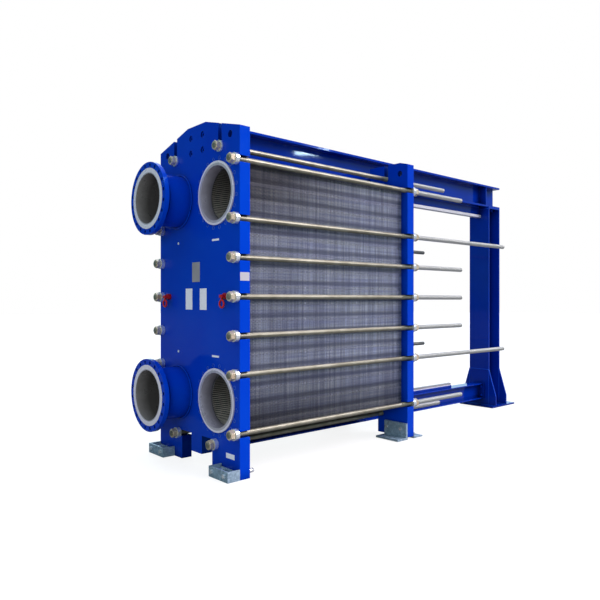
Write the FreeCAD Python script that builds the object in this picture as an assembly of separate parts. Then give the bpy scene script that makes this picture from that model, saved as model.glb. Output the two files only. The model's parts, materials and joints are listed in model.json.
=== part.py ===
import FreeCAD, Part
import math
import os
from FreeCAD import Vector

# Gasketed plate heat exchanger. Millimetres, +Z up.
# The frame plate with the pipe connections faces -Y, and the length runs along +Y.
# Every shape is drawn with Y measured from the frame plate's front face,
# and save() moves it so that the origin is the bottom centre of the whole object.

# --- frame plate and pressure plate ---
plate_width = 1415.0
plate_thick = 110.0
half_width = plate_width / 2
corner_z = 3090.0
crown_z = 3235.0
crown_half = 160.0
leg_inner = 272.0
recess_top = 285.0
tab_half = 92.0
tab_bottom = 112.0
pack_length = 2185.0
pack_front = plate_thick
pressure_front = pack_front + pack_length
pressure_rear = pressure_front + plate_thick
pressure_bottom = 28.0
pressure_top = 3120.0
pressure_top_half = 600.0
beam_gap_half = 145.0
beam_gap_bottom = 2765.0
guide_gap_half = 100.0
guide_gap_top = 425.0
lift_hole_r = 32.5
frame_lift_x = 560.0
frame_lift_z = 3040.0
pressure_lift_x = 598.0
pressure_lift_z = 2998.0

# --- ports: 20 inch pipe size, class 150 bolting ---
centre_z = 1597.0
port_x = 342.0
port_dz = 946.0
upper_z = centre_z + port_dz
lower_z = centre_z - port_dz
bolt_circle = 635.0
port_bolts = 20
pipe_r = 254.0
nozzle_reach = 336.0
flange_r = 349.25
flange_thick = 43.0
flange_hole_r = 15.9
raised_r = 292.0
raised_thick = 2.0
nozzle_bore_r = 241.0
nozzle_sleeve_r = 244.5
port_bore_r = 250.0
port_sleeve_r = 255.0
collar_thick = 13.0
stud_hole_r = 14.3
stud_hole_deep = 60.0
fit_gap = 0.25

# --- tightening bolts ---
bolt_r = 26.0
slot_half = 29.0
side_bolt_x = 662.0
side_rows = (-1203.0, -686.0, -344.0, 0.0, 344.0, 686.0, 1203.0)
long_rows = (-686.0, 686.0)
top_bolt_x = 398.0
top_bolt_z = 2962.0
bottom_bolt_x = 330.0
bottom_bolt_z = 250.0
short_end = 3400.0
long_end = 4395.0
bolt_front = -96.0
nut_flats = 80.0
front_nut_high = 48.0
rear_nut_high = 58.0
washer_r = 52.0
box_high = 38.0
thin_washer_high = 14.0
rear_washer_high = 46.0
thread_gap = 0.05

# --- carrying bar, guide bar and support column ---
beam_top = 3258.0
beam_bottom = 2944.0
beam_half = 120.0
beam_flange = 24.0
beam_web = 12.0
beam_end = 5228.0
end_plate_thick = 25.0
rail_top = 2825.0
rail_high = 36.0
rail_half = 40.0
rail_web = 16.0
guide_bottom = 115.0
guide_top = 340.0
guide_half = 80.0
guide_flange = 14.0
guide_web = 9.0
guide_rail_half = 30.0
guide_base_top = 372.0
guide_lip_high = 7.0
guide_fin_half = 20.0
guide_rail_top = 405.0
guide_rail_end = 4114.0
column_front = 4862.0
column_depth = 300.0
column_rear = column_front + column_depth
column_half = 160.0
column_flange = 20.0
column_web = 12.0
cap_thick = 30.0
base_thick = 22.0
base_half = 275.0
base_front = 4775.0
base_rear = 5385.0
gusset_top = 545.0
gusset_knee = 160.0
anchor_hole_r = 14.0

# --- plate pack ---
stacks = 6
plates_per_stack = 9
channel_plate_thick = 6.0
pack_half = 620.0
pack_bottom = 358.0
pack_top = 2836.0
pack_corner = 45.0
plate_port_r = 242.0
stack_length = pack_length / stacks
plate_pitch = stack_length / plates_per_stack
gasket_wide = 14.0
port_gasket_gap = 12.0
port_gasket_wide = 12.0

# --- feet ---
foot_inner = 415.0
foot_outer = 712.0
foot_reach = 130.0
foot_high = 95.0
foot_sheet = 15.0
foot_bolt_xs = (465.0, 660.0)
foot_bolt_z = 52.0
foot_bolt_r = 12.0
foot_sleeve_r = 20.0
foot_sleeve_long = 44.0
foot_nut_high = 22.0
angle_inner = 392.0
angle_outer = 709.0
angle_reach = 172.0
angle_high = 185.0
angle_thick = 28.0
angle_bolt_xs = (430.0, 634.0)
angle_bolt_z = 117.0
rear_angle_reach = 160.0
rear_angle_high = 71.0
rear_angle_thick = 14.0
pressure_foot_lift = 4.0

# --- rollers that carry the pressure plate on the lower flange ---
roller_r = 55.0
roller_x0 = 30.0
roller_x1 = 80.0
roller_y = pressure_rear + 78.0
roller_z = beam_bottom + beam_flange + roller_r + 0.2
axle_r = 15.0
bracket_bottom = 2950.0
bracket_top = 3105.0
running_gap = 0.05
screw_r = 18.0

# --- swivel lifting rings ---
ring_x = 512.0
ring_z = 1600.0
ring_base_r = 30.0
ring_base_high = 34.0
ring_pin_y = -56.0
ring_pin_r = 8.0
link_rod_r = 9.0
link_half = 33.0
link_drop = 82.0

front_y = -(base_rear - nozzle_reach - raised_thick) / 2
FORWARD = Vector(0, 1, 0)


def save(node, *shapes):
    """Write one node, moved so that the origin is the object's bottom centre."""
    shape = shapes[0] if len(shapes) == 1 else Part.makeCompound(list(shapes))
    shape = shape.copy()
    shape.translate(Vector(0, front_y, 0))
    shape.exportStep("parts/" + node + ".step")


def block(x0, x1, y0, y1, z0, z1):
    """A box between two corners."""
    return Part.makeBox(x1 - x0, y1 - y0, z1 - z0, Vector(x0, y0, z0))


def rod(r, x, z, y0, y1):
    """A round bar along Y."""
    return Part.makeCylinder(r, y1 - y0, Vector(x, y0, z), FORWARD)


def ring(r_out, r_in, x, z, y0, y1):
    """A tube along Y."""
    return rod(r_out, x, z, y0, y1).cut(rod(r_in, x, z, y0 - 1, y1 + 1))


def plate_from(points, y0, y1):
    """A plate in the XZ plane, from its outline."""
    corners = [Vector(x, y0, z) for x, z in points]
    face = Part.Face(Part.makePolygon(corners + corners[:1]))
    return face.extrude(Vector(0, y1 - y0, 0))


def hexagon(flats, x, z, y0, y1):
    """A six-sided prism along Y, with two flats upright."""
    across = flats / math.sqrt(3)
    turns = [math.radians(60 * k + 30) for k in range(6)]
    points = [(x + across * math.cos(a), z + across * math.sin(a)) for a in turns]
    return plate_from(points, y0, y1)


def nut(x, z, y0, y1, bore):
    """A hexagon nut with both faces chamfered, and a round bore."""
    high = y1 - y0
    face_r = 0.475 * nut_flats
    cone0 = Part.makeCone(face_r, face_r + high, high, Vector(x, y0, z), FORWARD)
    cone1 = Part.makeCone(face_r + high, face_r, high, Vector(x, y0, z), FORWARD)
    body = hexagon(nut_flats, x, z, y0, y1).common(cone0).common(cone1)
    return body.cut(rod(bore, x, z, y0 - 1, y1 + 1))


def circle_holes(x, z, y0, y1, r):
    """The twenty holes of one port, straddling its centre lines."""
    holes = []
    for k in range(port_bolts):
        a = math.radians(360.0 / port_bolts * (k + 0.5))
        hx = x + bolt_circle / 2 * math.cos(a)
        hz = z + bolt_circle / 2 * math.sin(a)
        holes.append(rod(r, hx, hz, y0, y1))
    return holes


def mirrored(points):
    """Close a right-hand outline with its mirror image in X."""
    return points + [(-x, z) for x, z in reversed(points)]


def side_bolts(rows):
    """Bolt centres in the two outer columns."""
    return [(s * side_bolt_x, centre_z + dz) for dz in rows for s in (-1, 1)]


def short_rows():
    return [dz for dz in side_rows if dz not in long_rows]


def inner_bolts():
    """The two pairs of bolts above and below the plate pack."""
    top = [(s * top_bolt_x, top_bolt_z) for s in (-1, 1)]
    bottom = [(s * bottom_bolt_x, bottom_bolt_z) for s in (-1, 1)]
    return top + bottom


def bolt_slots(y0, y1):
    """Open slots that let each bolt leave sideways, upwards or into the recess."""
    cuts = []
    for x, z in side_bolts(side_rows):
        s = 1 if x > 0 else -1
        ends = sorted((x, s * (half_width + 10)))
        cuts.append(block(ends[0], ends[1], y0, y1, z - slot_half, z + slot_half))
        cuts.append(rod(slot_half, x, z, y0, y1))
    for s in (-1, 1):
        x = s * top_bolt_x
        cuts.append(block(x - slot_half, x + slot_half, y0, y1, top_bolt_z, crown_z + 50))
        cuts.append(rod(slot_half, x, top_bolt_z, y0, y1))
        x = s * bottom_bolt_x
        ends = sorted((x, s * (leg_inner - 20)))
        cuts.append(block(ends[0], ends[1], y0, y1, bottom_bolt_z - slot_half,
                          bottom_bolt_z + slot_half))
        cuts.append(rod(slot_half, x, bottom_bolt_z, y0, y1))
    return cuts


def screw_places():
    """Countersunk screws that hold the carrying bar to the frame plate."""
    return [(x, z) for x in (-104.0, 104.0) for z in (2984.0, 3128.0)]


def guide_screw_places():
    """Screws that hold the guide bar's end plates."""
    return [(x, z) for x in (-56.0, 56.0) for z in (165.0, 290.0)]


def make_frame_plate():
    outline = mirrored([
        (tab_half, tab_bottom), (tab_half, recess_top), (leg_inner, recess_top),
        (leg_inner, 0.0), (half_width, 0.0), (half_width, corner_z),
        (crown_half, crown_z)])
    body = plate_from(outline, 0.0, plate_thick)
    cuts = bolt_slots(-5, plate_thick + 5)
    for z in (lower_z, upper_z):
        cuts.append(rod(nozzle_sleeve_r + fit_gap, -port_x, z, -5, plate_thick + 5))
        cuts.append(rod(port_sleeve_r + fit_gap, port_x, z, -5, plate_thick + 5))
        cuts += circle_holes(port_x, z, -5, stud_hole_deep, stud_hole_r)
    for s in (-1, 1):
        cuts.append(rod(lift_hole_r, s * frame_lift_x, frame_lift_z, -5, plate_thick + 5))
        for x in foot_bolt_xs:
            cuts.append(rod(foot_bolt_r + fit_gap, s * x, foot_bolt_z, -5, plate_thick + 5))
        cuts.append(rod(ring_pin_r + running_gap, s * ring_x, ring_z, -5, 40))
    for x, z in screw_places():
        cuts.append(rod(30.0, x, z, -5, 45.0))
        cuts.append(rod(screw_r + fit_gap, x, z, 40, plate_thick + 5))
    for x, z in guide_screw_places():
        cuts.append(rod(10.0 + fit_gap, x, z, plate_thick - 40, plate_thick + 5))
    save("frame_plate", body.cut(Part.makeCompound(cuts)))


def make_nozzle(node, z):
    """A welded stub pipe with its loose-bolted flange face to the front."""
    pipe = ring(pipe_r, nozzle_sleeve_r + fit_gap, -port_x, z, -nozzle_reach + flange_thick, 0.0)
    face = -nozzle_reach
    flange = rod(flange_r, -port_x, z, face, face + flange_thick)
    hub = Part.makeCone(pipe_r + 22, pipe_r, 60, Vector(-port_x, face + flange_thick, z), FORWARD)
    weld = Part.makeCone(pipe_r, pipe_r + 12, 12, Vector(-port_x, -12, z), FORWARD)
    body = flange.fuse(hub).fuse(pipe).fuse(weld)
    body = body.cut(rod(nozzle_sleeve_r + fit_gap, -port_x, z, face - 5, 5))
    holes = circle_holes(-port_x, z, face - 5, face + flange_thick + 5, flange_hole_r)
    save(node, body.cut(Part.makeCompound(holes)))


def make_nozzle_liner(node, z):
    """A stainless sleeve through the nozzle, with its raised sealing face."""
    face = -nozzle_reach
    sleeve = ring(nozzle_sleeve_r, nozzle_bore_r, -port_x, z, face - raised_thick, plate_thick)
    collar = ring(raised_r, nozzle_bore_r, -port_x, z, face - raised_thick, face)
    save(node, sleeve.fuse(collar))


def make_port_liner(node, z):
    """A stainless sleeve in the frame plate, with a thick collar to bolt a pipe to."""
    sleeve = ring(port_sleeve_r, port_bore_r, port_x, z, -collar_thick, plate_thick)
    collar = ring(raised_r, port_bore_r, port_x, z, -collar_thick, 0.0)
    save(node, sleeve.fuse(collar))


def i_section(half, z0, z1, flange, web, y0, y1):
    """An I-shaped bar along Y."""
    body = block(-half, half, y0, y1, z0, z0 + flange)
    body = body.fuse(block(-half, half, y0, y1, z1 - flange, z1))
    return body.fuse(block(-web / 2, web / 2, y0, y1, z0, z1))


def make_carrying_bar():
    y0 = plate_thick
    body = i_section(beam_half, beam_bottom, beam_top, beam_flange, beam_web,
                     y0 + end_plate_thick, beam_end)
    end = block(-140, 140, y0, y0 + end_plate_thick, beam_bottom - 15, crown_z - 2)
    hanger = block(-rail_web / 2, rail_web / 2, y0, column_front - 12, rail_top, beam_bottom)
    body = body.fuse(end).fuse(hanger)
    stiffener = block(-beam_half + 6, beam_half - 6, column_front, column_front + 14,
                      beam_bottom, beam_top)
    body = body.fuse(stiffener)
    cuts = [rod(screw_r, x, z, y0 - 5, y0 + end_plate_thick + 5) for x, z in screw_places()]
    for x, y in column_bolt_places():
        cuts.append(Part.makeCylinder(12.0 + fit_gap, 60, Vector(x, y, beam_bottom - 20)))
    save("carrying_bar", body.cut(Part.makeCompound(cuts)).removeSplitter())


def column_bolt_places():
    return [(x, column_front + dy) for x in (-62.0, 62.0) for dy in (60.0, 240.0)]


def make_hanging_rail():
    save("hanging_rail", block(-rail_half, rail_half, plate_thick, column_front - 12,
                               rail_top - rail_high, rail_top))


def make_guide_bar():
    y0 = plate_thick
    y1 = column_front
    body = i_section(guide_half, guide_bottom, guide_top, guide_flange, guide_web, y0, y1)
    for y in (y0, y1 - 20):
        body = body.fuse(block(-tab_half, tab_half, y, y + 20, guide_bottom, guide_top))
    body = body.fuse(block(-guide_rail_half, guide_rail_half, y0, guide_rail_end,
                           guide_top, guide_base_top))
    cuts = []
    for x, z in guide_screw_places():
        cuts.append(rod(10.0 + fit_gap, x, z, y0 - 5, y0 + 25))
        cuts.append(rod(10.0 + fit_gap, x, z, y1 - 25, y1 + 5))
    save("guide_bar", body.cut(Part.makeCompound(cuts)).removeSplitter())


def make_guide_rail():
    """A stainless rail on the guide bar's base strip: a flat lip with a raised fin."""
    lip = block(-guide_rail_half, guide_rail_half, plate_thick, guide_rail_end,
                guide_base_top, guide_base_top + guide_lip_high)
    fin = block(-guide_fin_half, guide_fin_half, plate_thick, guide_rail_end,
                guide_base_top + guide_lip_high, guide_rail_top)
    save("guide_rail", lip.fuse(fin))


def make_support_column():
    top = beam_bottom - cap_thick
    y0 = column_front
    y1 = column_rear
    body = block(-column_half, column_half, y0, y0 + column_flange, base_thick, top)
    body = body.fuse(block(-column_half, column_half, y1 - column_flange, y1, base_thick, top))
    body = body.fuse(block(-column_web / 2, column_web / 2, y0, y1, base_thick, top))
    body = body.fuse(block(-column_half, column_half, y0, y1, top, beam_bottom))
    body = body.fuse(block(-base_half, base_half, base_front, base_rear, 0, base_thick))
    wing = [(column_half, base_thick), (base_half, base_thick), (base_half, gusset_knee),
            (column_half, gusset_top)]
    for y in (y0, y1 - column_flange):
        for s in (-1, 1):
            body = body.fuse(plate_from([(s * x, z) for x, z in wing], y, y + column_flange))
    body = body.fuse(rear_stay())
    cuts = []
    for x, y in column_bolt_places():
        cuts.append(Part.makeCylinder(12.0 + fit_gap, 60, Vector(x, y, top - 10)))
    for x, z in guide_screw_places():
        cuts.append(rod(10.0 + fit_gap, x, z, y0 - 5, y0 + column_flange + 5))
    cuts += [anchor_hole(x, y) for x, y in anchor_places()]
    save("support_column", body.cut(Part.makeCompound(cuts)).removeSplitter())


def rear_stay():
    """A triangular plate that stiffens the column's back on its centre line."""
    y1 = column_rear
    points = [(y1, base_thick), (base_rear - 15, base_thick), (base_rear - 15, 130.0),
              (y1, gusset_top)]
    corners = [Vector(-column_web / 2, y, z) for y, z in points]
    face = Part.Face(Part.makePolygon(corners + corners[:1]))
    return face.extrude(Vector(column_web, 0, 0))


def anchor_hole(x, y):
    """A hole for a floor anchor."""
    return Part.makeCylinder(anchor_hole_r, 60, Vector(x, y, -5))


def anchor_places():
    return [(x, y) for x in (-225.0, 225.0) for y in (base_front + 45, base_rear - 45)]


def make_frame_feet():
    for s, side in ((-1, "left"), (1, "right")):
        xs = sorted((s * foot_inner, s * foot_outer))
        y0 = -foot_reach
        body = block(xs[0], xs[1], y0, 0, 0, foot_sheet)
        body = body.fuse(block(xs[0], xs[1], y0, y0 + foot_sheet, 0, foot_high))
        body = body.fuse(block(xs[0], xs[1], -foot_sheet, 0, 0, foot_high - 25))
        body = body.fuse(block(xs[0], xs[0] + 12, y0, 0, 0, foot_high))
        body = body.fuse(block(xs[1] - 12, xs[1], y0, 0, 0, foot_high))
        cuts = [rod(foot_bolt_r + fit_gap, s * x, foot_bolt_z, y0 - 5, 5) for x in foot_bolt_xs]
        for x in foot_anchor_xs():
            cuts.append(anchor_hole(s * x, -foot_reach / 2))
        save("frame_foot_" + side, body.cut(Part.makeCompound(cuts)).removeSplitter())


def foot_anchor_xs():
    return (515.0, 612.0)


def make_frame_foot_bolts():
    """Through bolts that clamp each foot to its leg, with a sleeve and a nut behind the leg."""
    solids = []
    for s in (-1, 1):
        for x in foot_bolt_xs:
            head = hexagon(36.0, s * x, foot_bolt_z, -foot_reach - 15, -foot_reach)
            sleeve_end = plate_thick + foot_sleeve_long
            nut_end = sleeve_end + foot_nut_high
            shank = rod(foot_bolt_r, s * x, foot_bolt_z, -foot_reach, nut_end + 8)
            sleeve = rod(foot_sleeve_r, s * x, foot_bolt_z, plate_thick, sleeve_end)
            back = hexagon(36.0, s * x, foot_bolt_z, sleeve_end, nut_end)
            solids += [head.fuse(shank), sleeve.cut(shank), back.cut(shank)]
    save("frame_foot_bolts", *solids)


def make_tightening_bolts():
    shorts = [rod(bolt_r, x, z, bolt_front, short_end) for x, z in side_bolts(short_rows())]
    for x, z in inner_bolts():
        start = inner_nut_front() - 8 if z > centre_z else bolt_front
        shorts.append(rod(bolt_r, x, z, start, short_end))
    longs = [rod(bolt_r, x, z, bolt_front, long_end) for x, z in side_bolts(long_rows)]
    save("short_tightening_bolts", *shorts)
    save("long_tightening_bolts", *longs)


def inner_nut_front():
    return -thin_washer_high - front_nut_high


def make_front_fixings():
    """Washers and nuts that hold the tightening bolts at the frame plate."""
    washers = []
    nuts = []
    for x, z in side_bolts(side_rows) + inner_bolts():
        thin = abs(x) == top_bolt_x and z == top_bolt_z
        high = thin_washer_high if thin else box_high
        washers.append(ring(washer_r, bolt_r + 0.5, x, z, -high, 0.0))
        nuts.append(nut(x, z, -high - front_nut_high, -high, bolt_r))
    save("front_washers", *washers)
    save("front_nuts", *nuts)


def make_rear_fixings():
    """Bearing washers and tightening nuts behind the pressure plate."""
    y0 = pressure_rear
    y1 = y0 + rear_washer_high
    washers = []
    nuts = []
    for x, z in side_bolts(side_rows) + inner_bolts():
        washers.append(ring(washer_r, bolt_r + 0.5, x, z, y0, y1))
    for x, z in side_bolts(short_rows()) + inner_bolts():
        nuts.append(nut(x, z, y1, y1 + rear_nut_high, bolt_r + thread_gap))
    save("rear_washers", *washers)
    save("short_bolt_nuts", *nuts)
    for row, level in ((1, "upper"), (0, "lower")):
        for s, side in ((-1, "left"), (1, "right")):
            z = centre_z + long_rows[row]
            body = nut(s * side_bolt_x, z, y1 + 0.2, y1 + rear_nut_high, bolt_r + thread_gap)
            save("tightening_nut_" + level + "_" + side, body)


def make_pressure_plate():
    outline = mirrored([
        (guide_gap_half, guide_gap_top), (guide_gap_half, recess_top), (leg_inner, recess_top),
        (leg_inner, pressure_bottom), (half_width, pressure_bottom), (half_width, corner_z),
        (pressure_top_half, pressure_top), (beam_gap_half, pressure_top),
        (beam_gap_half, beam_gap_bottom)])
    body = plate_from(outline, pressure_front, pressure_rear)
    cuts = bolt_slots(pressure_front - 5, pressure_rear + 5)
    for s in (-1, 1):
        cuts.append(rod(lift_hole_r, s * pressure_lift_x, pressure_lift_z,
                        pressure_front - 5, pressure_rear + 5))
        for x in angle_bolt_xs:
            cuts.append(rod(foot_bolt_r + fit_gap, s * x, angle_bolt_z,
                            pressure_front - 5, pressure_front + 45))
            cuts.append(rod(foot_bolt_r + fit_gap, s * x, rear_bolt_z(),
                            pressure_rear - 45, pressure_rear + 5))
        for x, z in bracket_bolt_places():
            cuts.append(rod(8.0 + fit_gap, s * x, z, pressure_rear - 35, pressure_rear + 5))
    save("pressure_plate", body.cut(Part.makeCompound(cuts)))


def rear_bolt_z():
    return pressure_bottom + 24.0


def angle_bracket(s, y_back, direction, reach, high, thick):
    """An angle with one leaf on the floor and one against the leg."""
    xs = sorted((s * angle_inner, s * angle_outer))
    floor_ys = sorted((y_back, y_back + direction * reach))
    leaf_ys = sorted((y_back, y_back + direction * thick))
    z0 = pressure_foot_lift
    body = block(xs[0], xs[1], floor_ys[0], floor_ys[1], z0, z0 + min(thick, 22.0))
    return body.fuse(block(xs[0], xs[1], leaf_ys[0], leaf_ys[1], z0, high))


def make_pressure_feet():
    for s, side in ((-1, "left"), (1, "right")):
        front = angle_bracket(s, pressure_front, -1, angle_reach, angle_high, angle_thick)
        rear = angle_bracket(s, pressure_rear, 1, rear_angle_reach, rear_angle_high,
                             rear_angle_thick)
        for x in angle_bolt_xs:
            front = front.cut(rod(foot_bolt_r + fit_gap, s * x, angle_bolt_z,
                                  pressure_front - angle_thick - 5, pressure_front + 5))
            rear = rear.cut(rod(foot_bolt_r + fit_gap, s * x, rear_bolt_z(),
                                pressure_rear - 5, pressure_rear + rear_angle_thick + 5))
        for x in foot_anchor_xs():
            front = front.cut(anchor_hole(s * x, pressure_front - 110))
            rear = rear.cut(anchor_hole(s * x, pressure_rear + 105))
        save("pressure_foot_front_" + side, front.removeSplitter())
        save("pressure_foot_rear_" + side, rear.removeSplitter())


def make_pressure_foot_bolts():
    solids = []
    for s in (-1, 1):
        for x in angle_bolt_xs:
            y = pressure_front - angle_thick
            head = hexagon(36.0, s * x, angle_bolt_z, y - 15, y)
            solids.append(head.fuse(rod(foot_bolt_r, s * x, angle_bolt_z, y, pressure_front + 40)))
            y = pressure_rear + rear_angle_thick
            head = hexagon(36.0, s * x, rear_bolt_z(), y, y + 15)
            solids.append(head.fuse(rod(foot_bolt_r, s * x, rear_bolt_z(), pressure_rear - 40, y)))
    save("pressure_foot_bolts", *solids)


def bracket_bolt_places():
    return [(205.0, 2985.0), (205.0, 3070.0), (240.0, 2985.0), (240.0, 3070.0)]


def make_roller_gear():
    """Brackets, stub axles and rollers that hang the pressure plate on the carrying bar."""
    bolts = []
    for s, side in ((-1, "left"), (1, "right")):
        xs = sorted((s * 150.0, s * 265.0))
        pad = block(xs[0], xs[1], pressure_rear, pressure_rear + 16, bracket_bottom, bracket_top)
        xs = sorted((s * 150.0, s * 170.0))
        cheek = block(xs[0], xs[1], pressure_rear, roller_y + 45, bracket_bottom, bracket_top)
        body = pad.fuse(cheek)
        axle_hole = Part.makeCylinder(axle_r, 200, Vector(-100 + s * 160, roller_y, roller_z),
                                      Vector(1, 0, 0))
        body = body.cut(axle_hole)
        for x, z in bracket_bolt_places():
            body = body.cut(rod(8.0 + fit_gap, s * x, z, pressure_rear - 5, pressure_rear + 25))
            head = hexagon(24.0, s * x, z, pressure_rear + 16, pressure_rear + 26)
            bolts.append(head.fuse(rod(8.0, s * x, z, pressure_rear - 30, pressure_rear + 16)))
        save("roller_bracket_" + side, body.removeSplitter())
        save("roller_axle_" + side, stub_axle(s))
        save("roller_" + side, roller(s))
    save("roller_bracket_bolts", *bolts)


def stub_axle(s):
    """A fixed axle with a head outside the cheek and a collar at its inner end."""
    x_inner = s * (roller_x0 - 12)
    x_outer = s * 170.0
    body = along_x(axle_r, x_inner, x_outer)
    body = body.fuse(along_x(24.0, x_outer, s * 182.0))
    body = body.fuse(along_x(24.0, s * (roller_x0 - 12), s * (roller_x0 - 1)))
    return body.fuse(along_x(24.0, s * (roller_x1 + 1), s * 150.0))


def roller(s):
    """A steel roller that runs on the lower flange of the carrying bar."""
    body = along_x(roller_r, s * roller_x0, s * roller_x1)
    return body.cut(along_x(axle_r + running_gap, s * (roller_x0 - 5), s * (roller_x1 + 5)))


def along_x(r, xa, xb):
    """A round bar along X at the roller's height."""
    x0 = min(xa, xb)
    return Part.makeCylinder(r, abs(xb - xa), Vector(x0, roller_y, roller_z), Vector(1, 0, 0))


def make_bar_fixings():
    """The carrying bar's screws, and the hexagon bolts of the guide bar and column head."""
    solids = []
    for x, z in screw_places():
        head = rod(27.0, x, z, 12.0, 45.0).cut(hexagon(27.0, x, z, 11.0, 30.0))
        solids.append(head.fuse(rod(screw_r, x, z, 45.0, plate_thick + end_plate_thick)))
    save("carrying_bar_screws", *solids)
    solids = []
    for x, z in guide_screw_places():
        y = plate_thick + 20
        solids.append(hexagon(30.0, x, z, y, y + 13).fuse(rod(10.0, x, z, y - 55, y)))
        y = column_front - 20
        solids.append(hexagon(30.0, x, z, y - 13, y).fuse(rod(10.0, x, z, y, y + 65)))
        back = hexagon(30.0, x, z, y + 40, y + 58)
        solids.append(back.cut(rod(10.0, x, z, y + 35, y + 65)))
    for x, y in column_bolt_places():
        z = beam_bottom + beam_flange
        solids.append(upright_hexagon(36.0, x, y, z, z + 15).fuse(
            Part.makeCylinder(12.0, 80, Vector(x, y, z - 80))))
        z = beam_bottom - cap_thick
        back = upright_hexagon(36.0, x, y, z - 20, z)
        solids.append(back.cut(Part.makeCylinder(12.0, 40, Vector(x, y, z - 30))))
    save("bar_bolts", *solids)


def upright_hexagon(flats, x, y, z0, z1):
    """A six-sided prism along Z."""
    across = flats / math.sqrt(3)
    corners = []
    for k in range(7):
        a = math.radians(60 * k)
        corners.append(Vector(x + across * math.cos(a), y + across * math.sin(a), z0))
    return Part.Face(Part.makePolygon(corners)).extrude(Vector(0, 0, z1 - z0))


def channel_plate_outline():
    """A heat transfer plate: it hangs on the rail and straddles the guide rail."""
    c = pack_corner
    return mirrored([
        (guide_rail_half + 5, guide_rail_top + 7), (guide_rail_half + 5, pack_bottom),
        (pack_half - c, pack_bottom), (pack_half, pack_bottom + c),
        (pack_half, pack_top - c), (pack_half - c, pack_top),
        (rail_web / 2 + 6, pack_top), (rail_web / 2 + 6, rail_top + 0.5),
        (rail_half + 6, rail_top + 0.5), (rail_half + 6, rail_top - rail_high - 10)])


def gasket_outline(inset):
    """The gasket line, which passes under the rail notch and over the guide notch."""
    side = pack_half - 8 - inset
    low = pack_bottom + 10 + inset
    high = pack_top - 8 - inset
    return mirrored([
        (guide_rail_half + 20 + inset, guide_rail_top + 20 + inset),
        (guide_rail_half + 20 + inset, low), (side - pack_corner, low), (side, low + pack_corner),
        (side, high - pack_corner), (side - pack_corner, high),
        (rail_half + 20 + inset, high), (rail_half + 20 + inset, rail_top - rail_high - 22 - inset)])


def make_stack(k):
    """One group of channel plates, each plate behind its own gasket."""
    start = pack_front + k * stack_length
    plates = []
    gaskets = []
    for j in range(plates_per_stack):
        y0 = start + j * plate_pitch
        y1 = y0 + plate_pitch - channel_plate_thick
        plates.append(channel_plate(y1, y0 + plate_pitch))
        gaskets.append(gasket(y0, y1, (k * plates_per_stack + j) % 2))
    save("channel_plates_" + str(k + 1), *plates)
    save("gaskets_" + str(k + 1), *gaskets)


def channel_plate(y0, y1):
    body = plate_from(channel_plate_outline(), y0, y1)
    holes = [rod(plate_port_r, x, z, y0 - 1, y1 + 1)
             for x in (-port_x, port_x) for z in (lower_z, upper_z)]
    return body.cut(Part.makeCompound(holes))


def gasket(y0, y1, turn):
    """A field gasket and the two port rings that seal the other fluid out."""
    body = plate_from(gasket_outline(0.0), y0, y1)
    body = body.cut(plate_from(gasket_outline(gasket_wide), y0 - 1, y1 + 1))
    closed = (port_x, -port_x) if turn else (-port_x, port_x)
    inner = plate_port_r + port_gasket_gap
    for x, z in zip(closed, (upper_z, lower_z)):
        body = body.fuse(ring(inner + port_gasket_wide, inner, x, z, y0, y1))
    return body


def make_lifting_rings():
    """Swivel lifting rings that stand on the frame plate's front face."""
    for s, side in ((-1, "left"), (1, "right")):
        save("lifting_swivel_" + side, swivel(s * ring_x))
        save("lifting_link_" + side, link(s * ring_x))


def swivel(x):
    """A round head that turns on its screw, with two ears and a cross pin."""
    body = rod(ring_base_r, x, ring_z, -ring_base_high, -0.2)
    for s in (-1, 1):
        xs = sorted((x + s * 12.0, x + s * 22.0))
        body = body.fuse(block(xs[0], xs[1], ring_pin_y - 14, -ring_base_high + 2,
                               ring_z - 14, ring_z + 14))
    pin = Part.makeCylinder(ring_pin_r, 44, Vector(x - 22, ring_pin_y, ring_z), Vector(1, 0, 0))
    stud = rod(ring_pin_r, x, ring_z, -2, 32)
    return body.fuse(pin).fuse(stud)


def link(x):
    """A long closed link on the cross pin, hanging down."""
    top = ring_z
    eye = Part.makeCylinder(16.0, 22, Vector(x - 11, ring_pin_y, top), Vector(1, 0, 0))
    hole = Part.makeCylinder(ring_pin_r + running_gap, 30, Vector(x - 15, ring_pin_y, top),
                             Vector(1, 0, 0))
    shank = Part.makeCylinder(link_rod_r, 26, Vector(x, ring_pin_y, top - 34), Vector(0, 0, 1))
    loop = Part.makeTorus(link_half, link_rod_r, Vector(x, ring_pin_y, top - 34 - link_half),
                          FORWARD)
    return eye.fuse(shank).fuse(loop).cut(hole)


def make_name_plate():
    body = block(-75, 60, -3, 0, 1740, 1928)
    save("name_plate", body)
    rivets = [rod(4.0, x, z, -6, -3) for x in (-67.0, 52.0) for z in (1748.0, 1920.0)]
    save("name_plate_rivets", *rivets)


def make_blank_labels():
    """Plain stickers and tags, with nothing written on them."""
    solids = [
        block(-199, -75, -1, 0, 1474, 1678), block(59, 178, -1, 0, 1474, 1676),
        block(500, 630, -1, 0, 160, 205), block(half_width, half_width + 1, 4, 104, 1736, 1810)]
    for z in (upper_z - 425, lower_z + 400):
        solids.append(block(port_x - 72, port_x + 43, -1, 0, z - 9, z + 9))
    save("blank_labels", *solids)
    plugs = [rod(12.0, -port_x + 6, z, -4, 0) for z in (upper_z - 413, lower_z + 405)]
    save("plate_plugs", *plugs)


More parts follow.
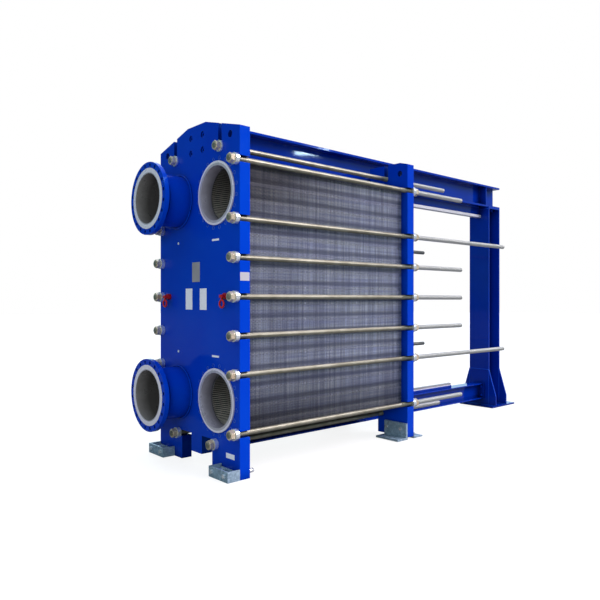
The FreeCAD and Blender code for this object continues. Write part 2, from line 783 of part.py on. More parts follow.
def main():
    os.makedirs("parts", exist_ok=True)
    make_frame_plate()
    for level, z in (("upper", upper_z), ("lower", lower_z)):
        make_nozzle(level + "_nozzle", z)
        make_nozzle_liner(level + "_nozzle_liner", z)
        make_port_liner(level + "_port_liner", z)
    make_carrying_bar()
    make_hanging_rail()
    make_guide_bar()
    make_guide_rail()
    make_support_column()
    make_bar_fixings()
    make_frame_feet()
    make_frame_foot_bolts()
    make_tightening_bolts()
    make_front_fixings()
    make_rear_fixings()
    make_pressure_plate()
    make_pressure_feet()
    make_pressure_foot_bolts()
    make_roller_gear()
    for k in range(stacks):
        make_stack(k)
    make_lifting_rings()
    make_name_plate()
    make_blank_labels()


main()
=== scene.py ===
"""Looks for the gasketed plate heat exchanger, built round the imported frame."""

import json
import math
import random

import bpy
import numpy as np
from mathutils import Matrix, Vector
from mathutils.geometry import tessellate_polygon


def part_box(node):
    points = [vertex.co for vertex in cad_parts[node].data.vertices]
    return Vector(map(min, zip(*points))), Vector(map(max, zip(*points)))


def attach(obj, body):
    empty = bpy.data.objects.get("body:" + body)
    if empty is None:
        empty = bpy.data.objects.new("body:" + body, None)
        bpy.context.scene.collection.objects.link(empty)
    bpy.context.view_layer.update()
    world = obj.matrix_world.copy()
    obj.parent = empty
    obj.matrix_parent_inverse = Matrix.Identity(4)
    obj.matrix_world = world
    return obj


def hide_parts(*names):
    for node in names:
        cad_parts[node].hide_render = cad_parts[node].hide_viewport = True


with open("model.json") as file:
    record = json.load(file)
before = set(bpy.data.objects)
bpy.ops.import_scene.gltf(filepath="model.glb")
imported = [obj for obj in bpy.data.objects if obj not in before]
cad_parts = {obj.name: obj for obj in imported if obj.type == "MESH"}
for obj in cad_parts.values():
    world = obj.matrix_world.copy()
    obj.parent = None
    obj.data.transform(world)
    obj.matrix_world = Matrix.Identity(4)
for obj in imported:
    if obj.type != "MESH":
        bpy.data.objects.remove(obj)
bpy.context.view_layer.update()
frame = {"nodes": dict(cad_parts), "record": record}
rng = random.Random(7)

# Sizes in metres, as in the CAD source.
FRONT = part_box("frame_plate")[0].y
PACK_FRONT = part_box("frame_plate")[1].y
PRESSURE_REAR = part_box("pressure_plate")[1].y
COLUMN_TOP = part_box("support_column")[1].z
CENTRE_Z = 1.597
PORT_X = 0.342
PORT_DZ = 0.946
PORTS = [(sx * PORT_X, CENTRE_Z + sz * PORT_DZ) for sx in (-1, 1) for sz in (-1, 1)]
PORT_R = 0.242

# The plate pack: six stacks, each drawn as many thin rims between two whole sheets.
STACKS = 6
STACK_LENGTH = (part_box("pressure_plate")[0].y - PACK_FRONT) / STACKS
PLATES = 48
PITCH = STACK_LENGTH / PLATES
PACK_HALF = 0.620
PACK_BOTTOM = 0.358
PACK_TOP = 2.836
CORNER_R = 0.045
NOTCH_HALF, NOTCH_TOP = 0.035, 0.412
HANGER_HALF, HANGER_FOOT = 0.046, 2.779
LIP_HALF, LIP_Z = 0.014, 2.8258
WAVES = 80
RIM_THICK = 0.0030
RIM_DEEP = 0.009
RIM_GAP = 0.0016
FRONT_SHEET = (0.0035, 0.0047)  # its two faces, behind the stack's front
REAR_SHEET = (0.0030, 0.0018)  # its two faces, ahead of the stack's rear
SEAL_INSET = (0.0048, 0.0031)
CORD_R = 0.0045
FLUTES = 78
FLUTE_DEEP = 0.0055
FLUTE_HUB_R = 0.256
PORT_RIM_THICK = 0.0052
ROW_STEP = 0.154
TABS = 16
TAB_START = 0.44
TAB_HIGH = 0.034

# Guide rail.
RAIL_LIP_TOP = 0.3785

# Tightening bolts; the rows at the sides are heights from the plates' centre.
SIDE_X = 0.662
SHORT_ROWS = (-1.203, -0.344, 0.0, 0.344, 1.203)
LONG_ROWS = (-0.686, 0.686)
TOP_BOLT_X, TOP_BOLT_Z = 0.398, 2.962
TOP_BOLT_START = FRONT - 0.070
BOTTOM_BOLT_X, BOTTOM_BOLT_Z = 0.330, 0.250
BOLT_R = 0.026
SHANK_R = BOLT_R - 0.0012
BOLT_SIDES = 14
THREAD_PITCH = 0.006
THREAD_DEEP = 0.0024

# Support column, carrying bar and nozzle edges that carry weld beads.
COLUMN_FRONT = FRONT + 4.862
COLUMN_REAR = FRONT + 5.162
COLUMN_HALF = 0.160
CAP_THICK = 0.0305
BASE_TOP = 0.0235
GUSSET_TOP = 0.545
BEAM_START = FRONT + 0.135
BEAM_TOP = 3.230
NOZZLE_R = 0.254
FLANGE_BACK = FRONT - 0.230

# Tapped holes round the right-hand ports.
TAPPED_HOLES = 20
HOLE_CIRCLE_R = 0.3175


# ---------------------------------------------------------------- mesh helpers

class Mesh:
    """Collects the vertices and faces of one piece."""

    def __init__(self):
        self.verts = []
        self.tris = []
        self.quads = []
        self.count = 0

    def add(self, verts, tris=(), quads=()):
        verts = np.asarray(verts, float).reshape(-1, 3)
        self.verts.append(verts)
        if len(tris):
            self.tris.append(np.asarray(tris, int).reshape(-1, 3) + self.count)
        if len(quads):
            self.quads.append(np.asarray(quads, int).reshape(-1, 4) + self.count)
        self.count += len(verts)

    def make(self, name, body, slot, material, smooth=False):
        """Turn what was collected into an object that rides on a body."""
        verts = np.concatenate(self.verts)
        loops, starts, totals, at = [], [], [], 0
        for group, size in ((self.tris, 3), (self.quads, 4)):
            if not group:
                continue
            faces = np.concatenate(group)
            loops.append(faces.ravel())
            starts.append(at + np.arange(len(faces)) * size)
            totals.append(np.full(len(faces), size))
            at += faces.size
        loops = np.concatenate(loops).astype(np.int32)
        starts = np.concatenate(starts).astype(np.int32)
        mesh = bpy.data.meshes.new(name)
        mesh.vertices.add(len(verts))
        mesh.vertices.foreach_set("co", verts.astype(np.float32).ravel())
        mesh.loops.add(len(loops))
        mesh.loops.foreach_set("vertex_index", loops)
        mesh.polygons.add(len(starts))
        mesh.polygons.foreach_set("loop_start", starts)
        mesh.polygons.foreach_set("loop_total", np.concatenate(totals).astype(np.int32))
        mesh.update(calc_edges=True)
        mesh.validate()
        mesh.polygons.foreach_set("use_smooth", [smooth] * len(mesh.polygons))
        mesh.materials.append(material)
        obj = bpy.data.objects.new(name, mesh)
        bpy.context.scene.collection.objects.link(obj)
        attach(obj, body)
        return obj


def loft(mesh, rings, closed_ends=True, loop=False):
    """Join rings of equal length into a skin; ends are fanned shut unless it loops."""
    rings = np.asarray(rings, float)
    n, m = rings.shape[:2]
    i = np.arange(n if loop else n - 1)
    j = np.arange(m)
    ii, jj = np.meshgrid(i, j, indexing="ij")
    a = ii * m + jj
    b = ii * m + (jj + 1) % m
    c = ((ii + 1) % n) * m + (jj + 1) % m
    d = ((ii + 1) % n) * m + jj
    quads = np.stack([a, b, c, d], -1).reshape(-1, 4)
    verts = rings.reshape(-1, 3)
    tris = []
    if closed_ends and not loop:
        verts = np.vstack([verts, rings[0].mean(0), rings[-1].mean(0)])
        first, last = n * m, n * m + 1
        for k in range(m):
            tris.append((first, (k + 1) % m, k))
            tris.append((last, (n - 1) * m + k, (n - 1) * m + (k + 1) % m))
    mesh.add(verts, tris, quads)


def rod_along_y(mesh, x, z, profile, sides):
    """A turned bar along Y, from (y, radius) pairs."""
    angles = np.arange(sides) * 2 * math.pi / sides
    ring = np.stack([np.cos(angles), np.zeros(sides), np.sin(angles)], -1)
    rings = [ring * r + (x, y, z) for y, r in profile]
    loft(mesh, rings[::-1])


def tube(mesh, path, radius, sides=6, loop=False, ripple=0.0):
    """A round cord along a path; ripple makes it swell in turn like a weld bead."""
    path = np.asarray(path, float)
    n = len(path)
    if loop:
        ahead = np.roll(path, -1, 0) - np.roll(path, 1, 0)
    else:
        ahead = np.gradient(path, axis=0)
    ahead /= np.linalg.norm(ahead, axis=1)[:, None]
    up = np.tile((0.0, 0.0, 1.0), (n, 1))
    up[np.abs(ahead[:, 2]) > 0.9] = (1.0, 0.0, 0.0)
    side = np.cross(ahead, up)
    side /= np.linalg.norm(side, axis=1)[:, None]
    up = np.cross(side, ahead)
    angles = np.arange(sides) * 2 * math.pi / sides
    swell = radius * (1 + ripple * np.where(np.arange(n) % 2, 1, -1))
    rings = (path[:, None] + swell[:, None, None] * (np.cos(angles)[None, :, None] * side[:, None]
             + np.sin(angles)[None, :, None] * up[:, None]))
    loft(mesh, rings, loop=loop)


def circle(x, y, z, radius, count):
    """Points round a circle that faces along Y."""
    angles = np.arange(count) * 2 * math.pi / count
    return np.stack([x + radius * np.cos(angles), np.full(count, y),
                     z + radius * np.sin(angles)], -1)


def line(start, end, step):
    """Points along a straight line, about a step apart."""
    start, end = np.asarray(start, float), np.asarray(end, float)
    count = max(2, int(np.linalg.norm(end - start) / step) + 1)
    return start + (end - start) * np.linspace(0, 1, count)[:, None]


def prism(mesh, outline, holes, y0, y1):
    """A closed plate in the XZ plane with holes, between two depths."""
    loops = [np.asarray(p, float) for p in [outline, *holes]]
    flat = [[Vector((x, z, 0)) for x, z in p] for p in loops]
    caps = np.asarray(tessellate_polygon(flat), int)
    points = np.concatenate(loops)
    n = len(points)
    front = np.stack([points[:, 0], np.full(n, y0), points[:, 1]], -1)
    back = np.stack([points[:, 0], np.full(n, y1), points[:, 1]], -1)
    a, b, c = (points[caps[:, k]] for k in range(3))
    turn = (b[:, 0] - a[:, 0]) * (c[:, 1] - a[:, 1]) - (b[:, 1] - a[:, 1]) * (c[:, 0] - a[:, 0])
    caps[turn < 0] = caps[turn < 0][:, ::-1]
    quads, at = [], 0
    for k, p in enumerate(loops):
        area = np.sum(p[:, 0] * np.roll(p[:, 1], -1) - np.roll(p[:, 0], -1) * p[:, 1])
        i = at + np.arange(len(p))
        j = at + (np.arange(len(p)) + 1) % len(p)
        forward = (area > 0) == (k == 0)
        quads.append(np.stack([i, j, j + n, i + n] if forward else [j, i, i + n, j + n], -1))
        at += len(p)
    mesh.add(np.vstack([front, back]), np.vstack([caps, caps[:, ::-1] + n]),
             np.concatenate(quads))


def box_block(mesh, x0, x1, y0, y1, z0, z1, chamfer):
    """A block with its four long edges cut off, so that it isn't a bare box."""
    c = chamfer
    points = [(x0 + c, z0), (x1 - c, z0), (x1, z0 + c), (x1, z1 - c), (x1 - c, z1),
              (x0 + c, z1), (x0, z1 - c), (x0, z0 + c)]
    prism(mesh, points, [], y0, y1)


# ---------------------------------------------------------------- materials

def new_material(name):
    """A material that holds only a Principled shader."""
    material = bpy.data.materials.new(name)
    material.use_nodes = True
    tree = material.node_tree
    tree.nodes.clear()
    out = tree.nodes.new("ShaderNodeOutputMaterial")
    shader = tree.nodes.new("ShaderNodeBsdfPrincipled")
    tree.links.new(shader.outputs[0], out.inputs[0])
    return material, tree, shader


def node(tree, kind, inputs=(), **settings):
    """Add a node, set its options, and link or set its inputs."""
    made = tree.nodes.new("ShaderNode" + kind)
    for key, value in settings.items():
        setattr(made, key, value)
    for key, value in dict(inputs).items():
        if isinstance(value, bpy.types.NodeSocket):
            tree.links.new(value, made.inputs[key])
        else:
            made.inputs[key].default_value = value
    return made


def set_inputs(tree, shader, **values):
    """Set or link the shader's inputs by short names."""
    names = {"color": "Base Color", "metal": "Metallic", "rough": "Roughness",
             "normal": "Normal", "coat": "Coat Weight", "coat_rough": "Coat Roughness",
             "specular": "Specular IOR Level", "coat_normal": "Coat Normal",
             "tint": "Specular Tint"}
    for key, value in values.items():
        socket = shader.inputs[names[key]]
        if isinstance(value, bpy.types.NodeSocket):
            tree.links.new(value, socket)
        else:
            socket.default_value = value


def coordinates(tree, scale=(1, 1, 1)):
    """The piece's own coordinates; a small scale stretches a pattern along that axis."""
    place = node(tree, "TexCoord")
    return node(tree, "Mapping", {"Vector": place.outputs["Object"], "Scale": scale}).outputs[0]


def noise(tree, where, scale, detail=3.0, rough=0.5):
    return node(tree, "TexNoise", {"Vector": where, "Scale": scale, "Detail": detail,
                                   "Roughness": rough}).outputs["Fac"]


def ramp(tree, value, low, high, first=0.0, last=1.0):
    """Map a value from low..high to first..last."""
    return node(tree, "MapRange", {"Value": value, "From Min": low, "From Max": high,
                                   "To Min": first, "To Max": last}).outputs[0]


def mix(tree, share, first, last):
    """Blend two colours."""
    made = node(tree, "Mix", data_type="RGBA")
    for key, value in ((0, share), (6, first), (7, last)):
        if isinstance(value, bpy.types.NodeSocket):
            tree.links.new(value, made.inputs[key])
        elif key:
            made.inputs[key].default_value = (*value, 1.0)
        else:
            made.inputs[key].default_value = value
    return made.outputs[2]


def bump(tree, height, strength, distance, normal=None):
    inputs = {"Height": height, "Strength": strength, "Distance": distance}
    if normal is not None:
        inputs["Normal"] = normal
    return node(tree, "Bump", inputs).outputs[0]


def soft_edge(tree, radius):
    """A normal that rounds the edges."""
    return node(tree, "Bevel", {"Radius": radius}, samples=4).outputs[0]


def edge_mask(tree, radius, low, high):
    """1 along edges and 0 on faces, from how far the rounded normal leans."""
    round_normal = soft_edge(tree, radius)
    flat = node(tree, "NewGeometry").outputs["Normal"]
    dot = node(tree, "VectorMath", {0: round_normal, 1: flat}, operation="DOT_PRODUCT")
    return ramp(tree, dot.outputs["Value"], high, low)


def recess(tree, reach):
    """0 on open faces, rising to 1 in slots and inner corners, where little light gets in."""
    open_share = node(tree, "AmbientOcclusion", {"Distance": reach}, samples=6).outputs["AO"]
    return ramp(tree, open_share, 0.26, 0.76, 1.0, 0.0)


def slot_wall_shade_mask(tree, where):
    """1 on faces cut into the two end plates that look sideways, for painted shade on the slot walls.
    """
    place = node(tree, "SeparateXYZ", {0: where})
    normal = node(tree, "SeparateXYZ", {0: node(tree, "NewGeometry").outputs["Normal"]})
    sideways = node(tree, "Math", {0: normal.outputs[0]}, operation="ABSOLUTE").outputs[0]
    across = node(tree, "Math", {0: place.outputs[0]}, operation="ABSOLUTE").outputs[0]
    facing = ramp(tree, sideways, 0.8, 0.9)
    inner = ramp(tree, across, 0.55, 0.56, 1.0, 0.0)
    behind = ramp(tree, place.outputs[1], FRONT, FRONT + 0.004)
    both = node(tree, "Math", {0: facing, 1: inner}, operation="MULTIPLY").outputs[0]
    return node(tree, "Math", {0: both, 1: behind}, operation="MULTIPLY").outputs[0]


def paint(name, color, deep, rough=0.14, coat=0.0, edge=0.0035, tint=(0.0, 0.6, 1.0, 1.0),
          specular=0.2, edge_wear_and_highlight_gain=1.4, plate=True, shadow=0.25):
    """Sprayed enamel: orange peel, slow waves, faint dust, thinner paint on edges that is also a
    painted highlight, painted shade in recesses and, on plates, painted shade on the slot walls.
    """
    material, tree, shader = new_material(name)
    where = coordinates(tree)
    cloud = ramp(tree, noise(tree, where, 1.3, 4.0), 0.32, 0.68)
    worn = edge_mask(tree, 0.006, 0.80, 0.995)
    body = mix(tree, cloud, deep, color)
    # Edges lightened: thinner paint, and a painted highlight along them.
    pale = tuple(min(1, c * edge_wear_and_highlight_gain) for c in color)
    edge_worn_and_highlit = mix(tree, ramp(tree, worn, 0, 1, 0, 0.4), body, pale)
    dust = ramp(tree, noise(tree, where, 22.0, 6.0, 0.7), 0.55, 0.9, 0, 0.05)
    dusty = mix(tree, dust, edge_worn_and_highlit, (0.02, 0.08, 0.34))
    shaded = mix(tree, recess(tree, 0.16), dusty, tuple(c * shadow for c in deep))
    # Painted shade: the slot walls in the end plates are darkened to a third of the deep blue.
    slot_wall_shade = tuple(c * 0.32 for c in deep)
    final = mix(tree, slot_wall_shade_mask(tree, where), shaded, slot_wall_shade) if plate else shaded
    rounded = soft_edge(tree, edge)
    peel = noise(tree, where, 210.0, 2.0)
    waves = noise(tree, where, 2.2, 1.0)
    normal = bump(tree, peel, 0.08, 0.0004, rounded)
    normal = bump(tree, waves, 0.10, 0.006, normal)
    roughness = ramp(tree, noise(tree, where, 9.0, 3.0), 0.3, 0.7, rough * 0.7, rough * 1.4)
    set_inputs(tree, shader, color=final, rough=roughness, normal=normal, coat=coat,
               coat_rough=0.06, coat_normal=normal, specular=specular, tint=tint)
    return material


def steel(name, color, other, rough, stretch=(1, 1, 1), grain=120.0, spread=0.12, edge=0.0015,
          metal=1.0, bumpy=0.06, behind=None):
    """Bare or plated steel with grain, blotches and bright edges.

    behind = (y, colour) gives it another colour past y, with painted shade on the left side.
    """
    material, tree, shader = new_material(name)
    where = coordinates(tree, stretch)
    plain = coordinates(tree)
    blot = ramp(tree, noise(tree, plain, 6.0, 5.0, 0.6), 0.35, 0.65)
    fine = ramp(tree, noise(tree, where, grain, 4.0, 0.6), 0.25, 0.75)
    base = mix(tree, blot, color, other)
    if behind:
        place = node(tree, "SeparateXYZ", {0: plain})
        past = ramp(tree, place.outputs[1], behind[0], behind[0] + 0.03)
        # Painted shade: past y, the left side is darkened to 0.4 of the colour.
        lit_right_side = ramp(tree, place.outputs[0], -0.1, 0.1)
        past_with_shade = mix(tree, lit_right_side, tuple(c * 0.4 for c in behind[1]), behind[1])
        base = mix(tree, past, base, past_with_shade)
    streaks = mix(tree, ramp(tree, fine, 0, 1, 0.0, 0.25), base, tuple(c * 0.7 for c in color))
    worn = edge_mask(tree, 0.003, 0.80, 0.99)
    final = mix(tree, ramp(tree, worn, 0, 1, 0, 0.5), streaks, tuple(min(1, c * 1.25) for c in color))
    roughness = ramp(tree, fine, 0, 1, rough - spread / 2, rough + spread / 2)
    normal = bump(tree, fine, bumpy, 0.0008, soft_edge(tree, edge))
    set_inputs(tree, shader, color=final, metal=metal, rough=roughness, normal=normal)
    return material


def liner(name, x, inside, other, lip, depth):
    """Satin stainless: a bright faced ring with painted shade where it rolls in at lip, and a duller
    bore with turning marks.

    The bore darkens between the two depths: painted shade down the bore.
    """
    material, tree, shader = new_material(name)
    where = coordinates(tree)
    facing = node(tree, "SeparateXYZ", {0: node(tree, "NewGeometry").outputs["Normal"]}).outputs[1]
    on_ring = ramp(tree, facing, -0.85, -0.6, 1.0, 0.0)
    blot = ramp(tree, noise(tree, where, 5.0, 4.0, 0.6), 0.35, 0.65)
    turned = ramp(tree, noise(tree, coordinates(tree, (1, 40, 1)), 14.0, 3.0, 0.6), 0.3, 0.7)
    bore = mix(tree, ramp(tree, turned, 0, 1, 0, 0.55), mix(tree, blot, inside, other),
               tuple(c * 0.6 for c in inside))
    along = node(tree, "SeparateXYZ", {0: where}).outputs[1]
    # Painted shade: the bore darkens with depth.
    bore_shade = ramp(tree, along, depth[0], depth[1], 0.0, 0.85)
    bore = mix(tree, bore_shade, bore, tuple(c * 0.15 for c in other))
    middle = CENTRE_Z + (PORT_DZ if "upper" in name else -PORT_DZ)
    centred = node(tree, "VectorMath", {0: where, 1: (x, 0.0, middle)}, operation="SUBTRACT").outputs[0]
    flat = node(tree, "VectorMath", {0: centred, 1: (1.0, 0.0, 1.0)}, operation="MULTIPLY").outputs[0]
    radius = node(tree, "VectorMath", {0: flat}, operation="LENGTH").outputs["Value"]
    # Painted shade: a dark ring just inside the lip.
    lip_shade = ramp(tree, radius, lip - 0.002, lip + 0.002, 0.62, 0.0)
    face = mix(tree, lip_shade, mix(tree, blot, (1.0, 0.91, 1.0), (1.0, 0.87, 0.96)), (0.26, 0.25, 0.27))
    normal = bump(tree, turned, 0.05, 0.0006, soft_edge(tree, 0.004))
    set_inputs(tree, shader, color=mix(tree, on_ring, bore, face), metal=0.25,
               rough=ramp(tree, blot, 0, 1, 0.24, 0.38), normal=normal)
    return material


def fluted_steel():
    """Stainless plate edges seen down a port: bright crests, brown painted shadow in the flutes, and
    painted shade that deepens towards the top of each port.
    """
    material, tree, shader = new_material("port_steel")
    where = coordinates(tree)
    place = node(tree, "SeparateXYZ", {0: where})
    beside = node(tree, "Math", {0: place.outputs[0]}, operation="ABSOLUTE").outputs[0]
    above = node(tree, "Math", {0: place.outputs[2], 1: CENTRE_Z}, operation="SUBTRACT").outputs[0]
    sign = node(tree, "Math", {0: above}, operation="SIGN").outputs[0]
    middle = node(tree, "Math", {0: sign, 1: PORT_DZ}, operation="MULTIPLY").outputs[0]
    height = node(tree, "Math", {0: above, 1: middle}, operation="SUBTRACT").outputs[0]
    above = node(tree, "Math", {0: above}, operation="ABSOLUTE").outputs[0]
    spot = node(tree, "CombineXYZ", {0: beside, 2: above}).outputs[0]
    centre = (PORT_X, 0.0, PORT_DZ)
    centred = node(tree, "VectorMath", {0: spot, 1: centre}, operation="SUBTRACT").outputs[0]
    radius = node(tree, "VectorMath", {0: centred}, operation="LENGTH").outputs["Value"]
    lit_crest = ramp(tree, radius, PORT_R + 0.0020, PORT_R + 0.0034, 1.0, 0.0)
    blot = ramp(tree, noise(tree, where, 9.0, 4.0, 0.6), 0.35, 0.65)
    bright = mix(tree, blot, (1.0, 0.92, 0.84), (0.68, 0.61, 0.55))
    # Painted shade: darker towards the top of the port; painted shadow in the flutes.
    upward_shade = mix(tree, ramp(tree, height, -0.22, 0.16, 0.0, 0.88), bright, (0.12, 0.105, 0.10))
    color = mix(tree, lit_crest, (0.030, 0.026, 0.024), upward_shade)
    fine = noise(tree, where, 160.0, 3.0)
    set_inputs(tree, shader, color=color, metal=0.35, rough=ramp(tree, fine, 0.3, 0.7, 0.26, 0.40),
               normal=bump(tree, fine, 0.06, 0.0006))
    return material


def capped_rail():
    """The guide rail: dull stainless with painted shade on the fin, and a painted highlight along the
    lip.
    """
    material, tree, shader = new_material("guide_rail_steel")
    where = coordinates(tree)
    height = node(tree, "SeparateXYZ", {0: where}).outputs[2]
    blot = ramp(tree, noise(tree, coordinates(tree, (1, 0.2, 1)), 9.0, 4.0, 0.6), 0.35, 0.65)
    # Painted shade on the fin; the lip gets a painted highlight.
    shaded_fin = mix(tree, blot, (0.42, 0.40, 0.42), (0.30, 0.29, 0.31))
    on_shaded_fin = ramp(tree, height, RAIL_LIP_TOP, RAIL_LIP_TOP + 0.0015)
    color = mix(tree, on_shaded_fin, (0.88, 0.90, 1.0), shaded_fin)
    fine = noise(tree, coordinates(tree, (40, 1, 40)), 20.0, 3.0)
    set_inputs(tree, shader, color=color, metal=0.35, rough=ramp(tree, fine, 0.3, 0.7, 0.28, 0.44),
               normal=bump(tree, fine, 0.08, 0.0006, soft_edge(tree, 0.0015)))
    return material


def galvanised():
    """Hot-dip zinc: flat crystals of slightly different grey, and dull patches."""
    material, tree, shader = new_material("galvanised")
    where = coordinates(tree)
    cell = node(tree, "TexVoronoi", {"Vector": where, "Scale": 55.0})
    shade = node(tree, "SeparateColor", {0: cell.outputs["Color"]}).outputs[0]
    darkening = ramp(tree, noise(tree, where, 14.0, 4.0), 0.4, 0.65)
    crystals = mix(tree, shade, (0.25, 0.35, 0.44), (0.46, 0.59, 0.71))
    final = mix(tree, ramp(tree, darkening, 0, 1, 0, 0.5), crystals, (0.29, 0.40, 0.50))
    roughness = ramp(tree, shade, 0, 1, 0.30, 0.52)
    normal = bump(tree, shade, 0.15, 0.0006, soft_edge(tree, 0.002))
    set_inputs(tree, shader, color=final, metal=0.45, rough=roughness, normal=normal)
    return material


def smooth_ramp(tree, value, low, high, first, last):
    """The same as ramp, eased at both ends."""
    return node(tree, "MapRange", {"Value": value, "From Min": low, "From Max": high, "To Min": first,
                                   "To Max": last}, interpolation_type="SMOOTHSTEP").outputs[0]


def pack_shade(tree):
    """Painted shade on the plates' rims: most at the foot, the head and the frame plate's end."""
    place = node(tree, "SeparateXYZ", {0: node(tree, "TexCoord").outputs["Object"]})
    low = smooth_ramp(tree, place.outputs[2], 0.36, 1.0, 0.74, 0.0)
    high = smooth_ramp(tree, place.outputs[2], 1.90, 2.80, 0.0, 0.77)
    early = smooth_ramp(tree, place.outputs[1], PACK_FRONT, PACK_FRONT + 1.9, 1.0, 0.0)
    share = ramp(tree, early, 0, 1, 0.45, 1.15)
    high = node(tree, "Math", {0: high, 1: share}, operation="MULTIPLY").outputs[0]
    start = node(tree, "Math", {0: early, 1: 0.25}, operation="MULTIPLY").outputs[0]
    ends = node(tree, "Math", {0: low, 1: high}, operation="ADD").outputs[0]
    return node(tree, "Math", {0: ends, 1: start}, operation="ADD").outputs[0]


def pressed_plate():
    """Thin stainless rims: every plate its own tone, with the press marks in rows along the pack, bands
    of painted shade across it and painted shade towards its ends.
    """
    material, tree, shader = new_material("plate_steel")
    island = node(tree, "NewGeometry").outputs["Random Per Island"]
    height = node(tree, "SeparateXYZ", {0: node(tree, "TexCoord").outputs["Object"]}).outputs[2]
    fine_rows = ramp(tree, noise(tree, coordinates(tree, (1.0, 0.02, 1.0)), 44.0, 3.0, 0.7), 0.38, 0.62)
    patches = ramp(tree, noise(tree, coordinates(tree, (1.0, 0.35, 1.0)), 7.0, 3.0, 0.6), 0.35, 0.65)
    columns = ramp(tree, noise(tree, coordinates(tree, (0.02, 1.0, 0.02)), 42.0, 3.0, 0.7), 0.38, 0.62)
    # Painted shade in bands, one every row step up the pack.
    phase = node(tree, "Math", {0: height, 1: 2 * math.pi / ROW_STEP}, operation="MULTIPLY").outputs[0]
    swing = node(tree, "Math", {0: phase}, operation="SINE").outputs[0]
    band_shade = ramp(tree, swing, 0.35, 0.95)
    base = mix(tree, island, (0.74, 0.82, 1.0), (0.97, 0.99, 1.0))
    rowed = mix(tree, ramp(tree, fine_rows, 0, 1, 0, 0.62), base, (0.28, 0.32, 0.60))
    band_shaded = mix(tree, ramp(tree, band_shade, 0, 1, 0, 0.66), rowed, (0.12, 0.13, 0.19))
    patched = mix(tree, ramp(tree, patches, 0, 1, 0, 0.22), band_shaded, (0.36, 0.40, 0.68))
    lined = mix(tree, ramp(tree, columns, 0, 1, 0, 0.56), patched, (0.12, 0.13, 0.24))
    # Painted shade: the rims darkened and browned towards the foot, the head and the frame plate's end.
    darkening = node(tree, "VectorMath", {0: lined, 1: (0.19, 0.175, 0.16)}, operation="MULTIPLY").outputs[0]
    final = mix(tree, pack_shade(tree), lined, darkening)
    roughness = ramp(tree, fine_rows, 0, 1, 0.34, 0.50)
    normal = bump(tree, noise(tree, coordinates(tree), 90.0, 2.0), 0.1, 0.001)
    set_inputs(tree, shader, color=final, metal=0.60, rough=roughness, normal=normal)
    return material


def rubber():
    """Moulded rubber with bloom and a soft grain."""
    material, tree, shader = new_material("gasket_rubber")
    where = coordinates(tree)
    bloom = ramp(tree, noise(tree, where, 11.0, 5.0, 0.6), 0.4, 0.75)
    color = mix(tree, bloom, (0.014, 0.014, 0.016), (0.055, 0.055, 0.062))
    normal = bump(tree, noise(tree, where, 320.0, 2.0), 0.2, 0.0005)
    set_inputs(tree, shader, color=color, rough=ramp(tree, bloom, 0, 1, 0.5, 0.75), normal=normal,
               specular=0.35)
    return material


def plastic(name, color, other, rough=0.45):
    """Printed film or moulded plastic, with faint scuffs, and painted shade on edges and faces that
    face right.
    """
    material, tree, shader = new_material(name)
    where = coordinates(tree)
    normals = node(tree, "NewGeometry").outputs["Normal"]
    rightward = node(tree, "SeparateXYZ", {0: normals}).outputs[0]
    scuff = ramp(tree, noise(tree, where, 60.0, 5.0, 0.7), 0.5, 0.8)
    normal = bump(tree, noise(tree, where, 260.0, 2.0), 0.08, 0.0003, soft_edge(tree, 0.0008))
    face = mix(tree, scuff, color, other)
    # Painted shade: faces that face right drop to half the colour.
    final = mix(tree, ramp(tree, rightward, 0.5, 0.9), face, tuple(c * 0.5 for c in color))
    set_inputs(tree, shader, color=final, rough=rough, normal=normal)
    return material


BLUE = (0.0008, 0.050, 0.545)
DEEP_BLUE = (0.0005, 0.036, 0.50)
MATERIALS = {
    "blue_paint": paint("blue_paint", BLUE, DEEP_BLUE),
    "blackened_screw": paint("screw_paint", BLUE, DEEP_BLUE, 0.3, 0.1, 0.002, shadow=0.75),
    "red_paint": paint("red_paint", (0.62, 0.012, 0.012), (0.45, 0.008, 0.008), 0.25, 0.3, 0.002,
                       (1.0, 0.6, 0.6, 1.0), 0.4),
    "stainless": steel("stainless", (0.80, 0.79, 0.82), (0.68, 0.67, 0.70), 0.42,
                       (1, 30, 1), 60.0, metal=0.45),
    "zinc_plate": steel("zinc_plate", (0.97, 0.99, 1.0), (0.88, 0.92, 0.98), 0.20, metal=0.72),
    "bolt_steel": steel("bolt_steel", (0.34, 0.325, 0.25), (0.21, 0.195, 0.14), 0.40, metal=0.68,
                        behind=(PRESSURE_REAR, (0.74, 0.72, 0.69))),
    "roller_steel": steel("roller_steel", (0.50, 0.49, 0.47), (0.40, 0.39, 0.38), 0.35),
    "galvanised": galvanised(),
    "plate_steel": pressed_plate(),
    "gasket_rubber": rubber(),
    "name_plate_metal": steel("name_plate_metal", (0.60, 0.49, 0.51), (0.48, 0.39, 0.41), 0.38,
                              (60, 1, 1), 40.0, metal=0.5),
    "label_white": plastic("label_white", (1.0, 0.93, 1.0), (0.88, 0.82, 0.90)),
    "plug_plastic": plastic("plug_plastic", (0.95, 1.0, 1.0), (0.86, 0.92, 1.0), 0.3),
}

# Painted shade: the carrying bar, guide bar and column get a darker copy of the frame's blue, with a
# strong painted highlight on their edges.
SHADED_SECTION_PAINT = paint("shaded_section_paint", (0.0005, 0.030, 0.38), (0.0004, 0.022, 0.30), 0.045,
                      specular=0.4, edge_wear_and_highlight_gain=3.0, tint=(0.55, 0.8, 1.0, 1.0), plate=False)
# Painted highlight: weld beads in a lighter blue than the frame, so that they show as bright lines.
BEAD_HIGHLIGHT_PAINT = paint("bead_highlight_paint", (0.02, 0.10, 0.80), (0.01, 0.07, 0.66), specular=0.6, plate=False)
PORT_STEEL = fluted_steel()
